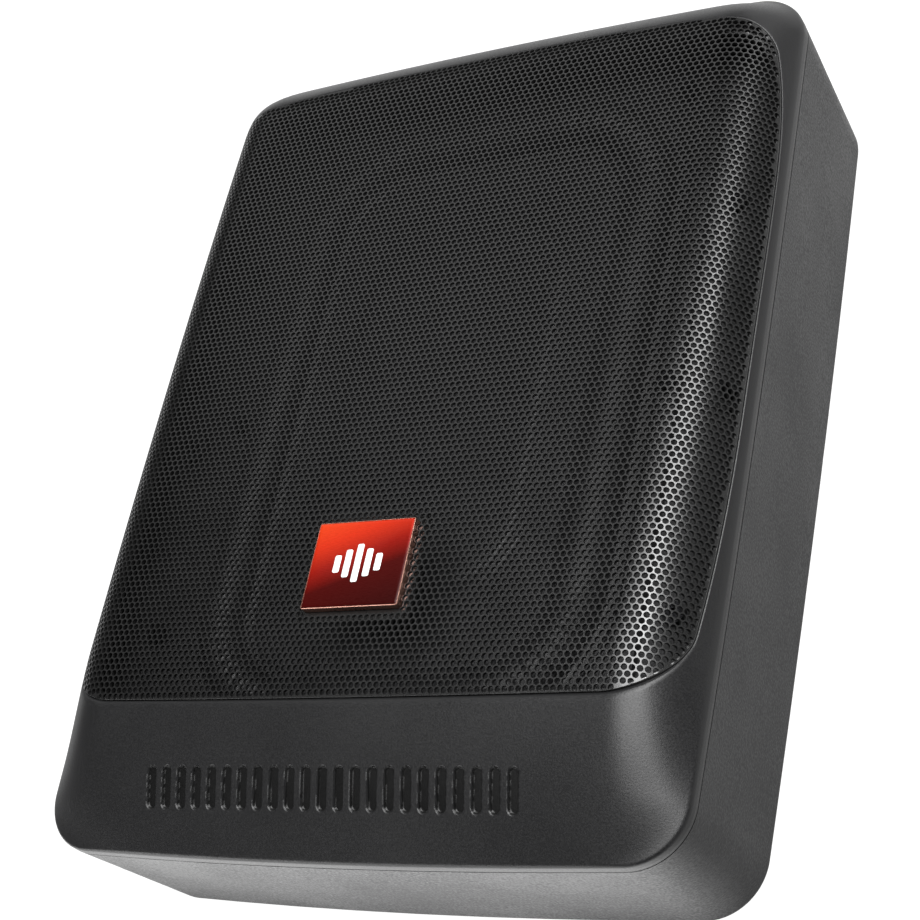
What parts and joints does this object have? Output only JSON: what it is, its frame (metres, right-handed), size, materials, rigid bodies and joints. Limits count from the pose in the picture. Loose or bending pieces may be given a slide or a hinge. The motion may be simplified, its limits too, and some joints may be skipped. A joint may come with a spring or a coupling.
{
  "type": "powered car subwoofer",
  "caption": "Slim under-seat powered subwoofer: drafted tub, domed cover with perforated grille, oblong driver, built-in amplifier and a connector panel.",
  "frame": {"origin": "middle of the flat back, at the base", "axes": "+Z out of the grille, +Y along the length to the connector end, X across the width"},
  "size_m": [0.1944, 0.26, 0.0687],
  "materials": {
    "tub": "fine satin moulded grain",
    "cover": "fine satin moulded grain",
    "grille": "black powder coat on punched steel",
    "badge_metal": "bright cut edge",
    "badge_red": "translucent red lacquer over metal",
    "emblem": "white print",
    "seal": "soft foam",
    "screw_steel": "black zinc",
    "brass": "turned",
    "baffle": "moulded",
    "basket": "black powder coat",
    "surround": "moulded rubber",
    "cone": "pressed composite",
    "former": "polyimide film",
    "copper": "enamelled copper wire",
    "spider": "resin-treated cloth",
    "plated_steel": "zinc plated",
    "ferrite": "ceramic magnet",
    "fibre": "fibre board",
    "board": "solder mask",
    "capacitor": "shrink sleeve",
    "ferrite_core": "ferrite",
    "chip": "moulded package",
    "aluminium": "extruded",
    "wire": "insulation",
    "panel": "fine texture",
    "socket": "moulded",
    "jack": "plated",
    "jack_ring": "moulded",
    "knob": "moulded",
    "fuse": "tinted moulding",
    "lamp": "tinted lens"
  },
  "bodies": {
    "enclosure": {"rear_tub": "tub", "front_cover": "cover", "cover_gasket": "seal", "grille": "grille", "badge_tray": "badge_metal", "badge_plate": "badge_red", "badge_emblem": "emblem", "cover_screws": "screw_steel", "bracket_inserts": "brass", "baffle": "baffle", "baffle_screws": "screw_steel", "driver_gasket": "seal", "driver_frame": "basket", "driver_screws": "screw_steel", "surround": "surround", "spider": "spider", "top_plate": "plated_steel", "magnet_ring": "ferrite", "yoke": "plated_steel", "terminal_strip": "fibre", "tinsel_leads": "copper", "amp_board": "board", "board_spacers": "brass", "board_screws": "screw_steel", "supply_capacitors": "capacitor", "output_choke": "copper", "power_transformer": "ferrite_core", "power_transistors": "chip", "heat_spreader": "aluminium", "transistor_clamp": "plated_steel", "clamp_screw": "screw_steel", "speaker_leads": "wire", "control_panel": "panel", "panel_screws": "screw_steel", "power_socket": "socket", "input_jacks": "jack", "jack_insulators": "jack_ring", "high_level_socket": "socket", "remote_socket": "socket", "level_pot": "plated_steel", "crossover_pot": "plated_steel", "phase_switch": "socket", "mode_switch": "socket", "fuse_holder": "socket", "fuse": "fuse", "power_lamp": "lamp"},
    "cone": {"diaphragm": "cone", "centre_panel": "cone", "coil_former": "former", "voice_coil": "copper"},
    "level_knob": {"level_knob": "knob"},
    "crossover_knob": {"crossover_knob": "knob"},
    "phase_slider": {"phase_slider": "knob"},
    "mode_slider": {"mode_slider": "knob"}
  },
  "joints": [
    {"name": "cone_travel", "type": "slide", "parent": "enclosure", "child": "cone", "axis": [0, 0, 1], "range_m": [-0.004, 0.004], "stiffness_N_per_m": 2500, "deforming": ["surround", "spider", "tinsel_leads"]},
    {"name": "level_turn", "type": "hinge", "parent": "enclosure", "child": "level_knob", "pos_m": [0.045, 0.12, 0.0295], "axis": [0, 1, 0], "range_deg": [-135, 135]},
    {"name": "crossover_turn", "type": "hinge", "parent": "enclosure", "child": "crossover_knob", "pos_m": [0.022, 0.12, 0.0295], "axis": [0, 1, 0], "range_deg": [-135, 135]},
    {"name": "phase_slide", "type": "slide", "parent": "enclosure", "child": "phase_slider", "axis": [1, 0, 0], "range_m": [0, 0.004]},
    {"name": "mode_slide", "type": "slide", "parent": "enclosure", "child": "mode_slider", "axis": [1, 0, 0], "range_m": [0, 0.004]}
  ]
}
